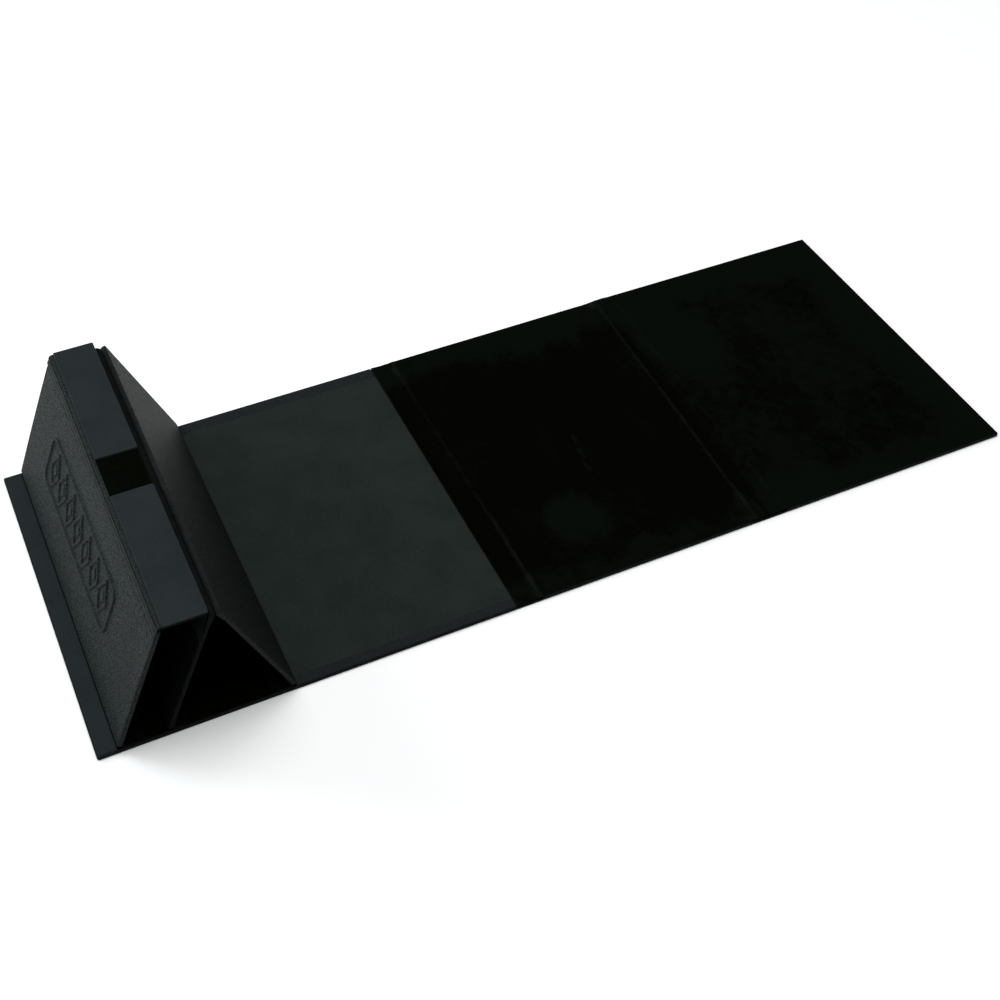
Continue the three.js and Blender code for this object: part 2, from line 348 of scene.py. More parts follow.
def place_group(tree, group, values, links):
    """Puts a group node in a material with its values and linked inputs."""
    node = tree.nodes.new("ShaderNodeGroup")
    node.node_tree = group
    for title, value in values.items():
        node.inputs[title].default_value = value
    for title, socket in links.items():
        tree.links.new(socket, node.inputs[title])
    return node.outputs


# Pebble grain: rounded cells of uneven size with pressed lines between them, plus fine pores.
pebble, p_in, p_out = new_group(
    "pebble_grain",
    [("Place", "NodeSocketVector", None), ("Cells", "NodeSocketFloat", 1100.0)],
    [("Height", "NodeSocketFloat"), ("Tone", "NodeSocketFloat")],
)
pebble_scale = pebble.nodes.new("ShaderNodeVectorMath")
pebble_scale.operation = "SCALE"
pebble.links.new(p_in["Place"], pebble_scale.inputs[0])
pebble.links.new(p_in["Cells"], pebble_scale.inputs["Scale"])
pebble_bend = add_noise(pebble, pebble_scale.outputs[0], 0.6, 2.0)
pebble_shift = pebble.nodes.new("ShaderNodeVectorMath")
pebble_shift.operation = "ADD"
pebble.links.new(pebble_scale.outputs[0], pebble_shift.inputs[0])
pebble.links.new(pebble_bend.outputs["Color"], pebble_shift.inputs[1])
pebble_cells = pebble.nodes.new("ShaderNodeTexVoronoi")
pebble_cells.feature = "SMOOTH_F1"
pebble_cells.inputs["Scale"].default_value = 1.0
pebble_cells.inputs["Smoothness"].default_value = 0.35
pebble.links.new(pebble_shift.outputs[0], pebble_cells.inputs["Vector"])
pebble_pores = add_noise(pebble, pebble_scale.outputs[0], 3.1, 3.0)
pebble_body = add_ramp(pebble, pebble_cells.outputs["Distance"], 0.15, 0.75, 1.0, 0.0)
pebble_pitting = add_math(pebble, "MULTIPLY", pebble_pores.outputs["Fac"], 0.35)
pebble_height = add_math(pebble, "ADD", pebble_body, pebble_pitting)
pebble.links.new(pebble_height, p_out["Height"])
pebble.links.new(add_ramp(pebble, pebble_body, 0.0, 0.8, 0.0, 1.0), p_out["Tone"])

# Worn edges and painted edge sheen: the wrap is thin and pale where it is pulled round a board edge, and the
# same mask paints the sheen the rounded edges catch.
edge_wear_sheen, w_in, w_out = new_group(
    "edge_wear_and_sheen",
    [
        ("Place", "NodeSocketVector", None),
        ("Rim", "NodeSocketFloat", 0.0),
        ("Amount", "NodeSocketFloat", 1.0),
    ],
    [("Mask", "NodeSocketFloat")],
)
wear_noise = add_noise(edge_wear_sheen, w_in["Place"], 160.0, 4.0, 0.65)
wear_break = add_ramp(edge_wear_sheen, wear_noise.outputs["Fac"], 0.3, 0.62, 0.35, 1.0)
wear_and_sheen_mask = add_math(edge_wear_sheen, "MULTIPLY", w_in["Rim"], wear_break)
edge_wear_sheen.links.new(add_math(edge_wear_sheen, "MULTIPLY", wear_and_sheen_mask, w_in["Amount"]), w_out["Mask"])


def piece_lay(tree):
    """The surface's own lay and rim mask, as stored on the piece."""
    lay = tree.nodes.new("ShaderNodeAttribute")
    lay.attribute_name = "lay"
    rim = tree.nodes.new("ShaderNodeAttribute")
    rim.attribute_name = "rim"
    return lay.outputs["Vector"], rim.outputs["Fac"]


def add_bump(tree, shader, height, distance, strength=1.0):
    """Feeds a height, in units of the distance, to the shader's normal."""
    bump = tree.nodes.new("ShaderNodeBump")
    bump.inputs["Distance"].default_value = distance
    bump.inputs["Strength"].default_value = strength
    tree.links.new(height, bump.inputs["Height"])
    tree.links.new(bump.outputs["Normal"], shader.inputs["Normal"])


def leatherette_finish(name, deep, high, edge, roughness, specular, cells=1100.0, relief=0.00012):
    """Leatherette: deep colour in the grain's lines, high colour on its pebbles, an edge colour on the rims
    for worn edges and painted edge sheen, slow blotches of handling, and a gloss that follows the pebbles."""
    material, tree, shader = new_material(name, high, roughness, specular)
    lay, rim = piece_lay(tree)
    grain = place_group(tree, pebble, {"Cells": cells}, {"Place": lay})
    cloud = add_noise(tree, lay, 14.0, 4.0)
    tone = add_math(
        tree,
        "MULTIPLY",
        grain["Tone"],
        add_ramp(tree, cloud.outputs["Fac"], 0.25, 0.75, 0.55, 1.0),
    )
    colour = add_mix(tree, tone, deep, high)
    # Rims take the edge colour: worn edges and a painted edge sheen.
    rub_and_sheen = place_group(tree, edge_wear_sheen, {}, {"Place": lay, "Rim": rim})["Mask"]
    tree.links.new(add_mix(tree, rub_and_sheen, colour, edge), shader.inputs["Base Color"])
    gloss = add_ramp(tree, grain["Tone"], 0.0, 1.0, roughness + 0.12, roughness - 0.05)
    tree.links.new(gloss, shader.inputs["Roughness"])
    add_bump(tree, shader, grain["Height"], relief)
    return material


turned_in = leatherette_finish(
    "turned_in_leatherette",
    (0.0075, 0.0096, 0.0102),
    (0.0118, 0.0152, 0.0158),
    (0.003, 0.0034, 0.0037),
    0.7,
    0.05,
)

BASE_END = 321.5
BOARD_TOP = 3.35
EDGE_ROUND = 1.1
base_cover = carry(
    "base_leatherette_cover",
    board_loop(0.0, BASE_END, 0.0, BOARD_TOP, EDGE_ROUND, EDGE_ROUND),
    depth_places(-HALF_DEPTH, HALF_DEPTH, EDGE_ROUND, corner=1.6),
)
finish_piece(base_cover, turned_in, "leatherette", "base", "base_cover")

# Greyboards: the stiff core of every covered panel, grey pulp board with flecks.
# They are closed in by their covers and would show only through a worn edge.
board_material, board_tree, board_shader = new_material("grey_pulp_board", (0.16, 0.145, 0.12), 0.85, 0.2)
board_place = board_tree.nodes.new("ShaderNodeTexCoord").outputs["Object"]
board_pulp = add_noise(board_tree, board_place, 900.0, 6.0, 0.7)
board_fleck = add_noise(board_tree, board_place, 2600.0, 2.0)
board_tone = add_mix(board_tree, board_pulp.outputs["Fac"], (0.11, 0.1, 0.085), (0.21, 0.19, 0.16))
board_flecked = add_mix(
    board_tree,
    add_ramp(board_tree, board_fleck.outputs["Fac"], 0.62, 0.7, 0.0, 1.0),
    board_tone,
    (0.06, 0.055, 0.05),
)
board_tree.links.new(board_flecked, board_shader.inputs["Base Color"])
add_bump(board_tree, board_shader, board_pulp.outputs["Fac"], 0.0001)
for board_node in (
    "base_board", "left_panel_board", "partition_board", "prop_board", "top_board",
    "top_block_board_front", "top_block_board_back", "inner_mat_board", "outer_mat_board",
):
    node_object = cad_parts[board_node]
    for board_slot in node_object.material_slots:
        board_slot.material = board_material

# Floor of the rest: black suede glued between the flange and the prop's foot.
# Its nap lies in slow patches, brushed one way here and another way there.
suede_nap, s_in, s_out = new_group(
    "suede_nap",
    [("Place", "NodeSocketVector", None)],
    [("Patch", "NodeSocketFloat"), ("Fibre", "NodeSocketFloat"), ("Height", "NodeSocketFloat")],
)
nap_turn = suede_nap.nodes.new("ShaderNodeMapping")
nap_turn.inputs["Rotation"].default_value = (0.0, 0.0, 0.5)
nap_turn.inputs["Scale"].default_value = (1.0, 0.45, 1.0)
suede_nap.links.new(s_in["Place"], nap_turn.inputs["Vector"])
nap_slow = add_noise(suede_nap, nap_turn.outputs[0], 16.0, 5.0, 0.6)
nap_fibre = add_noise(suede_nap, s_in["Place"], 1200.0, 4.0, 0.75)
nap_tuft = add_noise(suede_nap, s_in["Place"], 420.0, 4.0, 0.7)
suede_nap.links.new(add_ramp(suede_nap, nap_slow.outputs["Fac"], 0.38, 0.66, 0.0, 1.0), s_out["Patch"])
suede_nap.links.new(nap_fibre.outputs["Fac"], s_out["Fibre"])
nap_height = add_math(suede_nap, "ADD", nap_tuft.outputs["Fac"], nap_fibre.outputs["Fac"])
suede_nap.links.new(nap_height, s_out["Height"])


def suede_finish(name, dark, brushed, edge):
    """Suede: two shades of nap in patches, the paler one also a painted sheen, with a painted crease shade;
    fibres within them; paler at worn edges and ridges, where a highlight is painted too.
    """
    material, tree, shader = new_material(name, dark, 0.95, 0.0)
    lay, rim = piece_lay(tree)
    nap = place_group(tree, suede_nap, {}, {"Place": lay})
    # The brushed attribute holds paler nap patches painted as sheen, less a painted shade line in a crease.
    nap_sheen_and_shade = tree.nodes.new("ShaderNodeAttribute")
    nap_sheen_and_shade.attribute_name = "brushed"
    broken = add_noise(tree, lay, 95.0, 6.0, 0.7)
    spread = add_math(tree, "ADD", nap_sheen_and_shade.outputs["Fac"], add_math(tree, "MULTIPLY", nap["Patch"], 0.3))
    ragged = add_math(tree, "ADD", spread, add_ramp(tree, broken.outputs["Fac"], 0.25, 0.75, -0.25, 0.25))
    lie = add_ramp(tree, ragged, 0.1, 0.95, 0.0, 1.0)
    base = add_mix(tree, lie, dark, brushed)
    fibred = add_mix(
        tree,
        add_ramp(tree, nap["Fibre"], 0.42, 0.66, 0.0, 0.5),
        base,
        tuple(1.35 * c for c in brushed),
    )
    # Worn edges and ridges, with a painted highlight on them, take the edge colour.
    rub_and_sheen = place_group(tree, edge_wear_sheen, {"Amount": 0.85}, {"Place": lay, "Rim": rim})["Mask"]
    tree.links.new(add_mix(tree, rub_and_sheen, fibred, edge), shader.inputs["Base Color"])
    tree.links.new(add_ramp(tree, nap["Fibre"], 0.2, 0.8, 0.98, 0.86), shader.inputs["Roughness"])
    add_bump(tree, shader, nap["Height"], 0.00018)
    return material


# The second colour is the brushed nap and its painted sheen; the third goes on worn edges and painted ridge
# highlights.
black_suede = suede_finish(
    "black_suede",
    (0.0009, 0.0007, 0.0003),
    (0.0021, 0.0031, 0.0021),
    (0.0065, 0.0085, 0.007),
)
floor_suede = suede_finish(
    "floor_black_suede",
    (0.0014, 0.0011, 0.0005),
    (0.0026, 0.0021, 0.001),
    (0.004, 0.004, 0.003),
)
rest_floor = carry(
    "rest_floor_suede",
    board_loop(14.7, 146.3, 3.2, 3.62, 0.2, 0.2),
    depth_places(-149.0, 149.0, 0.2),
)
finish_piece(rest_floor, floor_suede, "black_suede", "base", "rest_floor_lining")

# Grey liners: matt grey paper over the flange and over the panel beside the rest.
# They stop short of the board's edges, where the turned-in cover shows.
paper_fibre, f_in, f_out = new_group(
    "paper_fibre",
    [("Place", "NodeSocketVector", None)],
    [("Tone", "NodeSocketFloat"), ("Height", "NodeSocketFloat")],
)
fibre_turn = paper_fibre.nodes.new("ShaderNodeMapping")
fibre_turn.inputs["Scale"].default_value = (1.0, 0.3, 1.0)
paper_fibre.links.new(f_in["Place"], fibre_turn.inputs["Vector"])
fibre_long = add_noise(paper_fibre, fibre_turn.outputs[0], 1500.0, 4.0, 0.7)
fibre_cloud = add_noise(paper_fibre, f_in["Place"], 30.0, 4.0, 0.6)
fibre_speck = add_noise(paper_fibre, f_in["Place"], 1100.0, 2.0, 0.6)
fibre_fine = add_math(paper_fibre, "MULTIPLY", fibre_long.outputs["Fac"], 0.6)
fibre_broad = add_math(paper_fibre, "MULTIPLY", fibre_cloud.outputs["Fac"], 0.4)
fibre_sum = add_math(paper_fibre, "ADD", fibre_fine, fibre_broad)
paper_fibre.links.new(add_ramp(paper_fibre, fibre_sum, 0.34, 0.64, 0.0, 1.0), f_out["Tone"])
paper_fibre.links.new(
    add_math(paper_fibre, "ADD", fibre_long.outputs["Fac"], fibre_speck.outputs["Fac"]),
    f_out["Height"],
)

PAPER_ROUGHNESS = 0.7


def paper_finish(name, dark, light, edge):
    """Covering paper: clouded fibres between two shades, paler at folded and cut edges, where they are worn
    and a sheen is painted.
    """
    material, tree, shader = new_material(name, light, PAPER_ROUGHNESS, 0.06)
    lay, rim = piece_lay(tree)
    fibre = place_group(tree, paper_fibre, {}, {"Place": lay})
    colour = add_mix(tree, fibre["Tone"], dark, light)
    # Folded and cut edges take the edge colour: worn edges and a painted edge sheen.
    rub_and_sheen = place_group(tree, edge_wear_sheen, {"Amount": 0.9}, {"Place": lay, "Rim": rim})["Mask"]
    tree.links.new(add_mix(tree, rub_and_sheen, colour, edge), shader.inputs["Base Color"])
    tree.links.new(
        add_ramp(tree, fibre["Tone"], 0.0, 1.0, PAPER_ROUGHNESS + 0.08, PAPER_ROUGHNESS - 0.06),
        shader.inputs["Roughness"],
    )
    add_bump(tree, shader, fibre["Height"], 0.00005)
    return material


grey_paper = paper_finish(
    "grey_liner_paper",
    (0.008, 0.0119, 0.0102),
    (0.0112, 0.016, 0.014),
    (0.022, 0.026, 0.025),
)
flange_paper = paper_finish(
    "grey_flange_paper",
    (0.0092, 0.0125, 0.0145),
    (0.0122, 0.016, 0.0182),
    (0.022, 0.026, 0.028),
)
flange_liner = carry(
    "flange_liner_paper",
    board_loop(1.6, 14.4, 3.2, 3.6, 0.19, 0.19),
    depth_places(-148.4, 148.4, 0.19),
)
finish_piece(flange_liner, flange_paper, "grey_paper", "base", "flange_liner")
grey_liner = carry(
    "grey_panel_liner_paper",
    board_loop(146.4, 320.9, 3.2, 3.6, 0.19, 0.19),
    depth_places(-141.0, 137.2, 0.19),
)
finish_piece(grey_liner, grey_paper, "grey_paper", "base", "grey_panel_liner")

# Foot tabs: strips of black hinge cloth, glued to the floor and up the inner face of
# the left panel, the partition and the prop. They bend where each panel is hinged.
FOOT_Z = 4.3
LEFT_FOOT = 18.0
PARTITION_FOOT = 54.2
PROP_FOOT = 146.6
PROP_FOOT_Z = 5.7
LEAN = 66.4
PROP_LEAN = 112.5
on_left = slope_place(LEFT_FOOT, FOOT_Z, LEAN)
on_partition = slope_place(PARTITION_FOOT, FOOT_Z, LEAN)
on_prop = slope_place(PROP_FOOT, PROP_FOOT_Z, PROP_LEAN)


def row_point(x, z):
    """A point in the row frame, in metres, from its station and height."""
    return ((x - ROW_ORIGIN) * MM, 0.0, z * MM)


weave, v_in, v_out = new_group(
    "cloth_weave",
    [("Place", "NodeSocketVector", None), ("Threads", "NodeSocketFloat", 1800.0)],
    [("Height", "NodeSocketFloat"), ("Tone", "NodeSocketFloat")],
)
weave_split = weave.nodes.new("ShaderNodeSeparateXYZ")
weave.links.new(v_in["Place"], weave_split.inputs[0])
weave_turns = add_math(weave, "MULTIPLY", v_in["Threads"], 2.0 * math.pi)
weave_warp = add_math(weave, "SINE", add_math(weave, "MULTIPLY", weave_split.outputs[0], weave_turns), 0.0)
weave_weft = add_math(weave, "SINE", add_math(weave, "MULTIPLY", weave_split.outputs[1], weave_turns), 0.0)
weave_cross = add_math(weave, "MULTIPLY", weave_warp, weave_weft)
weave.links.new(weave_cross, v_out["Height"])
weave.links.new(add_ramp(weave, weave_cross, -1.0, 1.0, 0.0, 1.0), v_out["Tone"])
hinge_cloth, cloth_tree, cloth_shader = new_material("black_hinge_cloth", (0.0012, 0.0014, 0.0014), 0.9, 0.0)
cloth_lay, cloth_rim = piece_lay(cloth_tree)
cloth_weave = place_group(cloth_tree, weave, {"Threads": 900.0}, {"Place": cloth_lay})
cloth_cloud = add_noise(cloth_tree, cloth_lay, 60.0, 3.0)
cloth_colour = add_mix(cloth_tree, cloth_weave["Tone"], (0.0012, 0.0014, 0.0013), (0.0026, 0.003, 0.0028))
cloth_cloudy = add_mix(
    cloth_tree,
    add_ramp(cloth_tree, cloth_cloud.outputs["Fac"], 0.3, 0.7, 0.0, 0.4),
    cloth_colour,
    (0.004, 0.0045, 0.0042),
)
# Cloth edges go paler: worn edges and a painted edge sheen.
cloth_rub_and_sheen = place_group(cloth_tree, edge_wear_sheen, {"Amount": 0.8}, {"Place": cloth_lay, "Rim": cloth_rim})["Mask"]
cloth_tree.links.new(
    add_mix(cloth_tree, cloth_rub_and_sheen, cloth_cloudy, (0.012, 0.014, 0.014)),
    cloth_shader.inputs["Base Color"],
)
cloth_tree.links.new(
    add_ramp(cloth_tree, cloth_weave["Tone"], 0.0, 1.0, 0.85, 0.72),
    cloth_shader.inputs["Roughness"],
)
add_bump(cloth_tree, cloth_shader, cloth_weave["Height"], 0.00006)

TAB_Z = 3.85
TAB_RISE = 12.0
TAB_OFF = 0.28
tab_depth = depth_places(-149.3, 149.3, 0.18)
for tab_name, tab_node, tab_body, floor_end, hinge_x, tab_place, tab_width in (
    ("left_foot_cloth", "left_foot_tab", "left_panel", 34.5, LEFT_FOOT, on_left, 0.027),
    ("partition_foot_cloth", "partition_foot_tab", "partition", 67.5, PARTITION_FOOT, on_partition, 0.024),
):
    climb = [tab_place(u, -TAB_OFF) for u in (1.6, 4.0, 8.0, TAB_RISE)]
    tab_path = [
        (floor_end, TAB_Z),
        (floor_end - 4.0, TAB_Z),
        (hinge_x + 5.0, TAB_Z),
        (hinge_x + 2.2, TAB_Z),
    ] + climb
    tab = carry(tab_name, ribbon_loop(tab_path, 0.4), tab_depth)
    finish_piece(tab, hinge_cloth, "hinge_cloth", None, tab_node)
    row_point(*tab_place(3.4, 0.0))
    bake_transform(tab)
prop_climb = [on_prop(u, 3.4 + TAB_OFF) for u in (1.2, 4.0, 8.0, TAB_RISE)]
prop_tab = carry(
    "prop_foot_cloth",
    ribbon_loop([(128.0, TAB_Z), (132.0, TAB_Z), (139.0, TAB_Z), (141.6, TAB_Z)] + prop_climb, 0.4),
    tab_depth,
)
finish_piece(prop_tab, hinge_cloth, "hinge_cloth", None, "prop_foot_tab")
row_point(*on_prop(3.0, 3.4))
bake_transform(prop_tab)

# Left panel: the slanted face of the rest, leatherette over greyboard with a black
# lining inside. A long frame round a row of lozenges is embossed in its cover.
PANEL_LENGTH = 112.5
PANEL_THICKNESS = 3.4
REST_HALF = 149.5
ORNAMENT_U = 60.0
ORNAMENT_Y = 8.5
ORNAMENT_HALF_Y = 88.0
ORNAMENT_HALF_U = 20.5
LOZENGE_COUNT = 7
LOZENGE_PITCH = 23.0
LOZENGE_HALF_Y = 9.5
LOZENGE_HALF_U = 14.5
EMBOSS_HEIGHT = 1.3


def smooth_step(value, low, high):
    """0 below low, 1 above high and 3 t squared - 2 t cubed between, t the share of the way."""
    t = np.clip((value - low) / (high - low), 0.0, 1.0)
    return t * t * (3.0 - 2.0 * t)


def soft_line(distance, half_width, slope):
    """1 on a line, falling to 0 beyond half its width by the same cubic of t."""
    t = np.clip((half_width + slope - np.abs(distance)) / (2.0 * slope), 0.0, 1.0)
    return t * t * (3.0 - 2.0 * t)


def ornament_height(u, y):
    """Embossed height: rings at a set distance from lozenge outlines, solid small lozenges in
    them, and a rounded frame at a set distance from a rectangle."""
    du = u - ORNAMENT_U
    dy = y - ORNAMENT_Y
    row = np.clip(np.round(dy / LOZENGE_PITCH), -(LOZENGE_COUNT // 2), LOZENGE_COUNT // 2)
    across = np.abs(dy - row * LOZENGE_PITCH)
    unit = LOZENGE_HALF_Y * LOZENGE_HALF_U / math.hypot(LOZENGE_HALF_Y, LOZENGE_HALF_U)
    lozenge = (across / LOZENGE_HALF_Y + np.abs(du) / LOZENGE_HALF_U - 1.0) * unit
    ring = soft_line(lozenge, 1.25, 0.4)
    core = soft_line(np.maximum(lozenge + 4.6, 0.0), 0.2, 0.6)
    corner = 9.0
    qu = np.abs(du) - (ORNAMENT_HALF_U - corner)
    qy = np.abs(dy) - (ORNAMENT_HALF_Y - corner)
    beyond = np.hypot(np.maximum(qu, 0.0), np.maximum(qy, 0.0))
    frame_gap = beyond + np.minimum(np.maximum(qu, qy), 0.0) - corner
    outline = soft_line(frame_gap, 1.1, 0.4)
    return EMBOSS_HEIGHT * np.maximum(np.maximum(ring, core), outline)


def left_shape(u, y, w, face):
    """The cover bows out by half a sine wave between its edges; the ornament stands on its
    outer face, and a groove is pressed in beside the top hinge."""
    bow = 0.35 * np.sin(math.pi * np.clip(u / PANEL_LENGTH, 0.0, 1.0))
    outer = np.clip(face, 0.0, 1.0) ** 4
    groove = -0.35 * soft_line(u - 107.5, 0.7, 0.7)
    return u, y, w + outer * (bow + groove + ornament_height(u, y))


def left_rub_and_highlight(u, y):
    """Along their tops the embossed lines take the edge colour: worn tops and a painted highlight on the
    raised lines.
    """
    return 0.5 * ornament_height(u, y) / EMBOSS_HEIGHT


below_ornament = np.linspace(1.2, 38.0, 12)
over_ornament = np.arange(38.0, 83.0, 0.55)
above_ornament = np.linspace(83.0, 104.0, 6)
over_groove = np.arange(104.0, 111.4, 0.6)
dense_u = np.unique(np.r_[below_ornament, over_ornament, above_ornament, over_groove])
dense_y = np.arange(ORNAMENT_Y - 92.0, ORNAMENT_Y + 92.0, 0.7)
slanted_leatherette = leatherette_finish(
    "slanted_face_leatherette",
    (0.0035, 0.006, 0.0057),
    (0.0175, 0.026, 0.0248),
    (0.0065, 0.0085, 0.0086),
    0.58,
    0.1,
    cells=820.0,
    relief=0.00036,
)
left_cover = carry(
    "left_panel_leatherette",
    board_loop(0.0, PANEL_LENGTH, 0.0, PANEL_THICKNESS, 1.0, 1.0, dense_u),
    depth_places(-REST_HALF, REST_HALF, 1.0, 6.0, dense_y, 2.2),
    on_left,
    left_shape,
    left_rub_and_highlight,
)
finish_piece(left_cover, slanted_leatherette, "leatherette", "left_panel", "left_panel_cover")

LINING_ROUND = 0.15


def glued_lining(name, along, out, half_depth, place, body, node):
    """A thin lining of suede on a board: a board outline with the given reaches along and out
    of the face, carried along the depth."""
    loop = board_loop(*along, *out, LINING_ROUND, LINING_ROUND)
    lining = carry(name, loop, depth_places(-half_depth, half_depth, LINING_ROUND), place)
    finish_piece(lining, black_suede, "black_suede", body, node)


glued_lining(
    "left_panel_lining_suede", (12.5, 108.5), (-0.22, 0.2), 145.0, on_left, "left_panel", "left_panel_lining"
)

# Partition: a second covered board parallel to the left panel, hinged at its foot.
# Three steel discs sit in pockets of its board, for the prop's magnets to hold.
COVER_SWELL = 1.31
SWELL_START = 101.0
SWELL_END = 110.5
rest_leatherette = leatherette_finish(
    "rest_leatherette",
    (0.0015, 0.0018, 0.0018),
    (0.0032, 0.0038, 0.0038),
    (0.0045, 0.0055, 0.0055),
    0.7,
    0.03,
)


def partition_shape(u, y, w, face):
    """Towards its top the partition's wrap swells by a smooth step on the prop's side, over
    the disc pockets."""
    return u, y, w - COVER_SWELL * smooth_step(u, SWELL_START, SWELL_END) * np.clip(-face, 0.0, 1.0)


partition_cover = carry(
    "partition_wrap",
    board_loop(0.0, PANEL_LENGTH, 0.0, PANEL_THICKNESS, 1.1, 1.4),
    depth_places(-REST_HALF, REST_HALF, 1.1, corner=2.2),
    on_partition,
    partition_shape,
)
finish_piece(partition_cover, rest_leatherette, "leatherette", "partition", "partition_cover")
glued_lining(
    "partition_lining_suede", (12.5, 98.0), (-0.22, 0.2), 146.0, on_partition, "partition", "partition_lining"
)


def metal_finish(name, colour, roughness, brushed):
    """Metal: a fine brushed or polished skin with slight stains."""
    material, tree, shader = new_material(name, colour, roughness, 0.5)
    shader.inputs["Metallic"].default_value = 1.0
    place = tree.nodes.new("ShaderNodeTexCoord").outputs["Object"]
    turn_node = tree.nodes.new("ShaderNodeMapping")
    turn_node.inputs["Scale"].default_value = (1.0, brushed, 1.0)
    tree.links.new(place, turn_node.inputs["Vector"])
    stroke = add_noise(tree, turn_node.outputs[0], 2500.0, 4.0)
    tree.links.new(
        add_mix(tree, stroke.outputs["Fac"], tuple(0.7 * c for c in colour), colour),
        shader.inputs["Base Color"],
    )
    tree.links.new(
        add_ramp(tree, stroke.outputs["Fac"], 0.2, 0.8, roughness + 0.1, roughness - 0.05),
        shader.inputs["Roughness"],
    )
    return material


steel = metal_finish("zinc_steel_disc", (0.45, 0.46, 0.47), 0.35, 0.05)
nickel = metal_finish("nickel_magnet", (0.6, 0.6, 0.62), 0.2, 0.6)
for disc_number in (1, 2, 3):
    for disc_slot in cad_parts[f"partition_steel_disc_{disc_number}"].material_slots:
        disc_slot.material = steel
    for magnet_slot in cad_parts[f"prop_magnet_{disc_number}"].material_slots:
        magnet_slot.material = nickel

# Prop: the covered board that leans back against the partition and holds the rest up.
# Its leatherette faces the mat; magnets in its board hold it to the partition.
PROP_LENGTH = 111.6
prop_leatherette = leatherette_finish(
    "prop_leatherette",
    (0.0008, 0.0016, 0.0016),
    (0.004, 0.0066, 0.0062),
    (0.0055, 0.0074, 0.0075),
    0.55,
    0.1,
    cells=820.0,
    relief=0.0003,
)


def prop_shape(u, y, w, face):
    """Towards its top the prop's wrap swells by a smooth step on the partition's side, over
    the magnets."""
    return u, y, w + COVER_SWELL * smooth_step(u, SWELL_START, SWELL_END) * np.clip(face, 0.0, 1.0)


prop_cover = carry(
    "prop_leatherette_cover",
    board_loop(0.0, PROP_LENGTH, 0.0, PANEL_THICKNESS, 1.1, 1.1),
    depth_places(-REST_HALF, REST_HALF, 1.1, corner=2.2),
    on_prop,
    prop_shape,
)
finish_piece(prop_cover, prop_leatherette, "leatherette", "prop", "prop_cover")
glued_lining("prop_lining_suede", (12.5, 98.0), (3.2, 3.62), 146.0, on_prop, "prop", "prop_lining")

# Top: a thin covered board with two grey blocks on it. The gap between the blocks is
# the window, lined with black suede; a black lining closes the underside.
TOP_X = 59.924
TOP_Z = 109.252
top_plate = carry(
    "top_plate_wrap",
    board_loop(TOP_X + 0.5, TOP_X + 35.75, TOP_Z + 0.38, TOP_Z + 2.38, 0.7, 0.7),
    depth_places(-REST_HALF, REST_HALF, 0.7, corner=1.6),
)
finish_piece(top_plate, rest_leatherette, "leatherette", "top")
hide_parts("top_board")
glued_lining(
    "top_underside_suede",
    (TOP_X + 2.5, TOP_X + 33.5),
    (TOP_Z + 0.05, TOP_Z + 0.45),
    146.5,
    flat_place,
    "top",
    "top_lining",
)
block_paper = paper_finish(
    "grey_block_paper",
    (0.0105, 0.014, 0.0152),
    (0.0145, 0.0188, 0.0205),
    (0.026, 0.032, 0.035),
)
for block_name, block_low, block_high, wrap_node in (
    ("top_block_front_wrap", -REST_HALF, -20.5, "top_block_wrap_front"),
    ("top_block_back_wrap", 20.5, REST_HALF, "top_block_wrap_back"),
):
    block = carry(
        block_name,
        board_loop(TOP_X + 4.3, TOP_X + 35.7, TOP_Z + 2.4, TOP_Z + 4.8, 0.5, 0.55),
        depth_places(block_low, block_high, 0.5, corner=1.3),
    )
    finish_piece(block, block_paper, "grey_paper", "top", wrap_node)
window_suede = suede_finish(
    "window_suede",
    (0.0013, 0.0014, 0.0007),
    (0.0022, 0.004, 0.0026),
    (0.007, 0.0085, 0.0075),
)
window_pad = carry(
    "window_suede_pad",
    board_loop(TOP_X + 4.4, TOP_X + 35.3, TOP_Z + 2.4, TOP_Z + 2.95, 0.2, 0.25),
    depth_places(-20.4, 20.4, 0.2),
)
finish_piece(window_pad, window_suede, "black_suede", "top", "window_pad")

# Top hinge: the left panel's leatherette runs on over a pressed groove and round the
# top board's long edge, up to the grey blocks. It is what the top turns on.
band_foot = ((108.2, 3.2), (109.4, 3.55), (110.6, 3.72), (111.6, 3.5), (112.3, 3.2))
band_path = [on_left(u, w) for u, w in band_foot]
band_path += [(60.2, 109.3), (60.45, 110.2), (60.95, 111.2), (61.8, 111.95), (62.9, 112.2), (64.1, 112.2)]
band = carry("top_hinge_leatherette", ribbon_loop(band_path, 0.5), depth_places(-REST_HALF, REST_HALF, 0.2))
finish_piece(band, slanted_leatherette, "leatherette", None, "top_hinge_band")
row_point(*on_left(110.6, 3.4))
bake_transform(band)

# Partition flap: a ribbon of hinge cloth from the underside of the top to the
# partition's face. It folds flat against the partition as the rest goes down.
flap_path = [(93.7, 109.05), (93.3, 107.6), (92.0, 103.8), (90.0, 98.2), (88.0, 93.0)]
flap_path += [on_partition(u, 3.75) for u in (92.0, 89.5, 87.5)]
flap_depth = depth_places(-REST_HALF, REST_HALF, 0.2)
flap = carry("partition_top_flap_cloth", ribbon_loop(flap_path, 0.5), flap_depth)
finish_piece(flap, hinge_cloth, "hinge_cloth", "partition", "partition_top_flap")
row_point(*on_partition(88.0, 3.45))
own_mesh(flap)

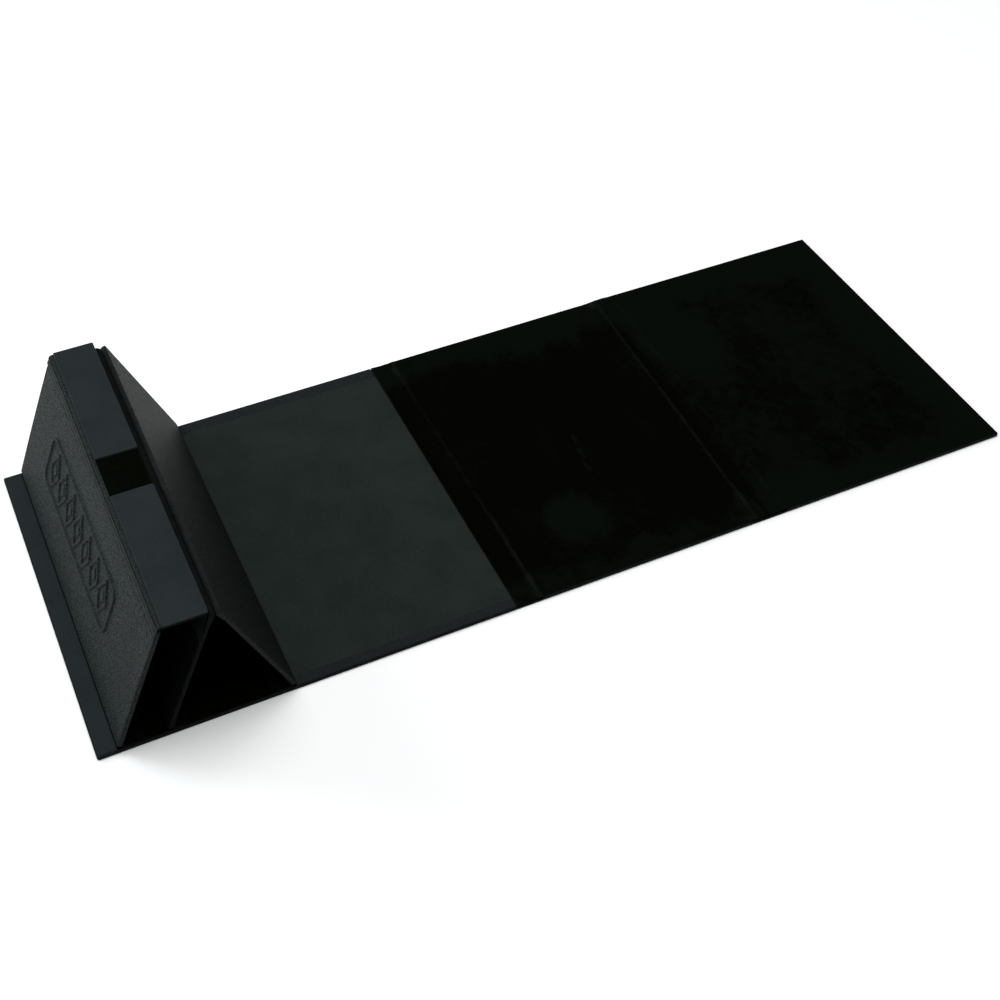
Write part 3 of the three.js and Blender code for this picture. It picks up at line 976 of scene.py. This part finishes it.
# Inner mat: covered board beside the soft strip. Underneath, the leatherette runs on
# through both soft strips, so the whole back of the mat is one cover.
INNER_START = 343.0
INNER_END = 529.5
STRIP_LOW = 0.5
STRIP_TOP = 1.15
inner_cover = carry(
    "inner_mat_leatherette",
    board_loop(INNER_START, INNER_END, 0.0, BOARD_TOP, EDGE_ROUND, EDGE_ROUND),
    depth_places(-HALF_DEPTH, HALF_DEPTH, EDGE_ROUND, corner=1.6),
)
finish_piece(inner_cover, turned_in, "leatherette", "inner_mat", "inner_mat_cover")
STRIP_MIDDLE = 332.2
near_strip = carry(
    "inner_hinge_leatherette_near",
    board_loop(321.2, STRIP_MIDDLE, STRIP_LOW, STRIP_TOP, 0.2, 0.2),
    depth_places(-HALF_DEPTH, HALF_DEPTH, 0.2),
)
finish_piece(near_strip, turned_in, "leatherette", None, "inner_hinge_cover")
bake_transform(near_strip)
far_strip = carry(
    "inner_hinge_leatherette_far",
    board_loop(STRIP_MIDDLE, 343.4, STRIP_LOW, STRIP_TOP, 0.2, 0.2),
    depth_places(-HALF_DEPTH, HALF_DEPTH, 0.2),
)
finish_piece(far_strip, turned_in, "leatherette", None)
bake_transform(far_strip)

# Suede of the mat: one black hide-like sheet over the inner strip, the inner board, the
# outer strip and the outer board, made in three lengths that meet edge to edge. It sinks
# between the boards and creases at their edges.
SUEDE_TOP = 3.85
SUEDE_THICK = 0.75
SUEDE_HALF = 149.2
SUEDE_JOIN = 524.0
OUTER_RIDGE = 538.0
OUTER_RIDGE_SLANT = 0.033
CREASE_LINE = 543.7
TURN_IN_LINE = 761.8


def uneven(y, seed, reach):
    """A slow wander along the depth: a sum of sines with seeded phases."""
    phases = np.random.default_rng(seed).uniform(0.0, 2.0 * math.pi, 5)
    waves = np.array([0.021, 0.047, 0.083, 0.15, 0.31])
    shares = np.array([1.0, 0.7, 0.45, 0.3, 0.18])
    y = np.asarray(y, float)
    return reach * sum(a * np.sin(k * y + p) for a, k, p in zip(shares, waves, phases)) / shares.sum()


def bell(distance, width):
    """1 on a line, falling off to both sides as exp(-(distance / width) squared)."""
    return np.exp(-((distance / width) ** 2))


def suede_surface(x, y):
    """Height of the sheet over its flat lie: it drops between boards by a smooth trough with a
    low rounded ridge along each board edge, a narrow crease in the outer strip, and bumps."""
    sink_1 = smooth_step(x, 321.9, 325.6) * (1.0 - smooth_step(x, 335.0 + uneven(y, 4, 0.8), 341.0))
    ridge_line = OUTER_RIDGE + OUTER_RIDGE_SLANT * y + uneven(y, 2, 0.6)
    sink_2 = smooth_step(x, ridge_line, ridge_line + 4.5) * (1.0 - smooth_step(x, 549.0, 558.5))
    ridge_1 = bell(x - 341.6 - uneven(y, 1, 0.9), 2.0)
    ridge_2 = bell(x - ridge_line, 2.2)
    ridge_3 = bell(x - 559.5 - uneven(y, 3, 0.8), 3.0)
    deepening = 0.35 + 0.65 * smooth_step(95.0 - y, 0.0, 60.0)
    crease = bell(x - CREASE_LINE - uneven(y, 6, 0.5), 0.9) * deepening
    back_bump = 1.9 * np.exp(-(((y - 152.0) / 13.0) ** 2) - (((x - 549.0) / 7.5) ** 2))
    back_wrinkle = 0.8 * np.exp(-(((y - 144.0) / 6.0) ** 2) - (((x - 537.5) / 3.0) ** 2))
    front_bump = 0.9 * np.exp(-(((y + 124.0) / 8.0) ** 2) - (((x - 532.5) / 5.0) ** 2))
    front_dent = 0.7 * np.exp(-(((y + 128.0) / 9.0) ** 2) - (((x - 546.0) / 5.0) ** 2))
    ripple = 0.12 * np.sin(0.05 * x + 0.03 * y) * np.sin(0.021 * y - 0.013 * x + 1.0)
    edge_hold = 1.0 - 0.6 * smooth_step(np.abs(y), 118.0, 148.0)
    drop = (0.9 * sink_1 + 1.2 * sink_2) * edge_hold + 0.6 * crease
    rise = 0.3 * ridge_1 + 0.35 * ridge_2 + 0.15 * ridge_3
    turned_edge = 0.16 * smooth_step(x, TURN_IN_LINE - 0.2, TURN_IN_LINE + 0.5)
    return -drop + rise + back_bump + back_wrinkle + front_bump - front_dent + ripple - turned_edge


def suede_rub_and_highlight(x, y):
    """Where the nap is paler, partly worn and partly a painted highlight on the ridges: the board edges, the
    strip's ends and a few wrinkles.
    """
    front_third = 0.35 + 0.65 * smooth_step(-y, 20.0, 90.0)
    share_1 = np.maximum(front_third, smooth_step(y, 95.0, 138.0))
    edge_1 = 0.75 * bell(x - 341.2 - uneven(y, 1, 0.9), 1.5) * share_1
    edge_2 = 0.55 * bell(x - 537.6 - OUTER_RIDGE_SLANT * y - uneven(y, 2, 0.6), 1.4)
    edge_3 = 0.16 * bell(x - 559.0 - uneven(y, 3, 0.8), 1.8)
    spots = 0.0
    for spot_x, spot_y, wide, deep, share in (
        (339.0, 138.0, 1.6, 5.0, 1.0), (341.0, -129.0, 2.6, 4.0, 0.9), (340.0, -144.0, 2.6, 4.0, 0.8),
        (537.3, 145.0, 2.6, 5.0, 1.0), (547.0, 147.0, 6.0, 4.0, 0.35),
        (532.5, -123.0, 4.0, 6.0, 0.6), (529.0, -146.0, 4.0, 2.0, 0.6),
    ):
        spots = spots + share * np.exp(-(((x - spot_x) / wide) ** 2) - (((y - spot_y) / deep) ** 2))
    turned = 0.35 * bell(x - TURN_IN_LINE, 0.5)
    return np.clip(edge_1 + edge_2 + edge_3 + spots + turned, 0.0, 1.0)


def suede_nap_sheen_and_crease_shade(x, y):
    """Where the nap was brushed the other way, painted paler also as its sheen: along the back and front
    edges, a round patch on the inner board, a broad one beside the outer strip, and a stroke across the inner
    one; a painted shade line is taken off along the outer strip's crease."""
    back = 0.8 * smooth_step(y + uneven(x, 7, 16.0), 95.0, 135.0)
    front = 0.45 * smooth_step(-y + uneven(x, 8, 12.0), 112.0, 140.0)
    patch_1 = 0.8 * np.exp(-((((x - 405.0) ** 2 + 0.9 * (y + 86.0) ** 2) / 27.0**2) ** 2))
    spread_2 = (x - 585.0) ** 2 * 2.2 + (y - 72.0 + uneven(x, 11, 14.0)) ** 2
    patch_2 = 0.9 * np.exp(-((spread_2 / 48.0**2) ** 2))
    far = 0.7 * smooth_step(x + uneven(y, 12, 14.0), 722.0, 755.0)
    stroke_x = 443.9 + 0.163 * y
    stroke_length = smooth_step(y, -62.0, -45.0) * (1.0 - smooth_step(y, 2.0, 20.0))
    stroke = 0.9 * bell(x - stroke_x, 1.1) * stroke_length
    outer = 0.26 * smooth_step(x, 545.0, 552.0) + 0.12 * smooth_step(x, 529.0, 536.0)
    # Painted shade: a dark line down the outer strip's crease.
    crease = 1.2 * bell(x - CREASE_LINE - uneven(y, 6, 0.5), 1.3) * smooth_step(110.0 - y, 0.0, 60.0)
    return np.clip(back + front + patch_1 + patch_2 + far + stroke + outer - crease, 0.0, 1.0)


def suede_places(low, high):
    """Stations along the sheet, close together over the soft strips and the board edges."""
    inner_strip_places = np.arange(321.2, 348.0, 0.6)
    outer_strip_places = np.arange(524.0, 566.0, 0.6)
    turn_in_places = np.arange(760.0, 764.0, 0.35)
    close = np.concatenate([inner_strip_places, outer_strip_places, turn_in_places])
    wide = np.arange(low, high, 3.0)
    both = np.unique(np.round(np.r_[close, wide], 3))
    return both[(both > low) & (both < high)]


def suede_piece(name, low, high, first_cut=0.0):
    """One length of the sheet, cut square where it meets the next; first_cut is how far its
    first edge wavers, in millimetres."""
    loop = board_loop(low, high, SUEDE_TOP - SUEDE_THICK, SUEDE_TOP, 0.02, 0.02, suede_places(low, high))

    def shape(x, y, z, face):
        """Moves both faces alike with the sheet's surface; the first edge wavers as cut."""
        if first_cut:
            x = x + first_cut * uneven(y, 9, 1.0) * (1.0 - smooth_step(x, low, low + 3.0))
        return x, y, z + suede_surface(x, y)

    def rub_and_highlight(x, y):
        """The worn places with their painted ridge highlight, and the cut edge where the sheet starts."""
        cut = 0.0
        if first_cut:
            cut = bell(x - low, 0.35)
        return np.maximum(suede_rub_and_highlight(x, y), cut)

    piece = carry(name, loop, depth_places(-SUEDE_HALF, SUEDE_HALF, 0.3, 3.0), flat_place, shape, rub_and_highlight)
    lay = np.zeros(3 * len(piece.data.vertices), np.float32)
    piece.data.attributes["lay"].data.foreach_get("vector", lay)
    # Brushed nap with its painted sheen, less a painted crease shade.
    brushed = suede_nap_sheen_and_crease_shade(lay[0::3] / MM, lay[1::3] / MM)
    nap_sheen_and_shade_data = piece.data.attributes.new("brushed", "FLOAT", "POINT").data
    nap_sheen_and_shade_data.foreach_set("value", brushed.astype(np.float32))
    piece.data.materials.append(black_suede)
    return piece


suede_near = suede_piece(
    "mat_suede_over_base_edge", 321.1, STRIP_MIDDLE, first_cut=0.5
)
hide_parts("inner_hinge_lining")
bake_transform(suede_near)
suede_inner = suede_piece(
    "mat_suede_inner",
    STRIP_MIDDLE,
    SUEDE_JOIN,
)
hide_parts("inner_mat_lining")
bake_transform(suede_inner)
OUTER_START = 560.5
OUTER_END = 769.5
suede_outer = suede_piece(
    "mat_suede_outer",
    SUEDE_JOIN,
    768.6,
)
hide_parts("outer_hinge_lining_near", "outer_hinge_lining_far", "outer_mat_lining")
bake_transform(suede_outer)

# Outer mat: the last covered board, joined to the inner one by a soft strip that lets
# it fold back underneath.
outer_strip = carry(
    "outer_hinge_leatherette",
    board_loop(529.0, 561.0, STRIP_LOW, STRIP_TOP, 0.2, 0.2, np.arange(529.0, 561.0, 0.8)),
    depth_places(-HALF_DEPTH, HALF_DEPTH, 0.2),
)
finish_piece(outer_strip, turned_in, "leatherette", None, "outer_hinge_cover_near", "outer_hinge_cover_far")
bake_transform(outer_strip)
outer_cover = carry(
    "outer_mat_leatherette",
    board_loop(OUTER_START, OUTER_END, 0.0, BOARD_TOP, EDGE_ROUND, EDGE_ROUND),
    depth_places(-HALF_DEPTH, HALF_DEPTH, EDGE_ROUND, corner=1.6),
)
finish_piece(outer_cover, turned_in, "leatherette", "outer_mat", "outer_mat_cover")
